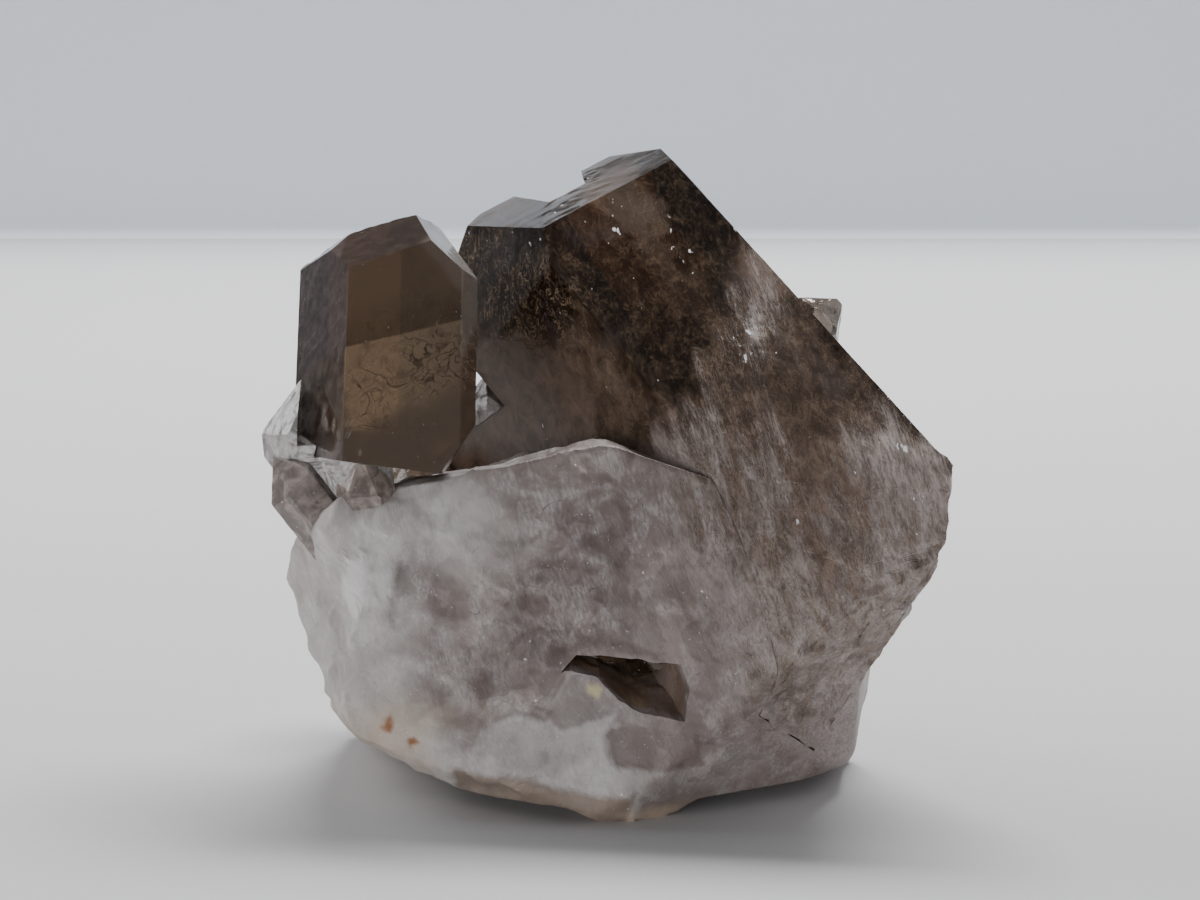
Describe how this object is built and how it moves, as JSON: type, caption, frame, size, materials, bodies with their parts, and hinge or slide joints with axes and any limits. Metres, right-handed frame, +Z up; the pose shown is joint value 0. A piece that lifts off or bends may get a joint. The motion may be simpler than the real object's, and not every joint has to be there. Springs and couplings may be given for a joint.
{
  "type": "smoky quartz cluster",
  "caption": "Cluster of smoky quartz crystals grown together on a broken root of milky quartz, with a small pocket of dark points, resting on its flat base.",
  "frame": {"origin": "middle of the bounding box, on the plane it rests on", "axes": "+Z up; +X to the right and +Y to the back, seen from the side with the pocket"},
  "size_m": [0.09, 0.0708, 0.0787],
  "materials": {
    "smoky_quartz": "glossy",
    "pale_smoky_quartz": "glossy",
    "clear_quartz": "glossy",
    "milky_quartz": "satin"
  },
  "bodies": {
    "root": {"main_crystals": "smoky_quartz", "left_crystal": "pale_smoky_quartz", "clear_left_crystal": "clear_quartz", "flank_crystal": "clear_quartz", "sparkling_crystal": "pale_smoky_quartz", "gap_crystal": "clear_quartz", "rear_right_crystal": "pale_smoky_quartz", "rear_left_crystal": "pale_smoky_quartz", "rear_low_crystal": "smoky_quartz", "pocket_crystals": "smoky_quartz", "milky_root": "milky_quartz"}
  },
  "joints": []
}
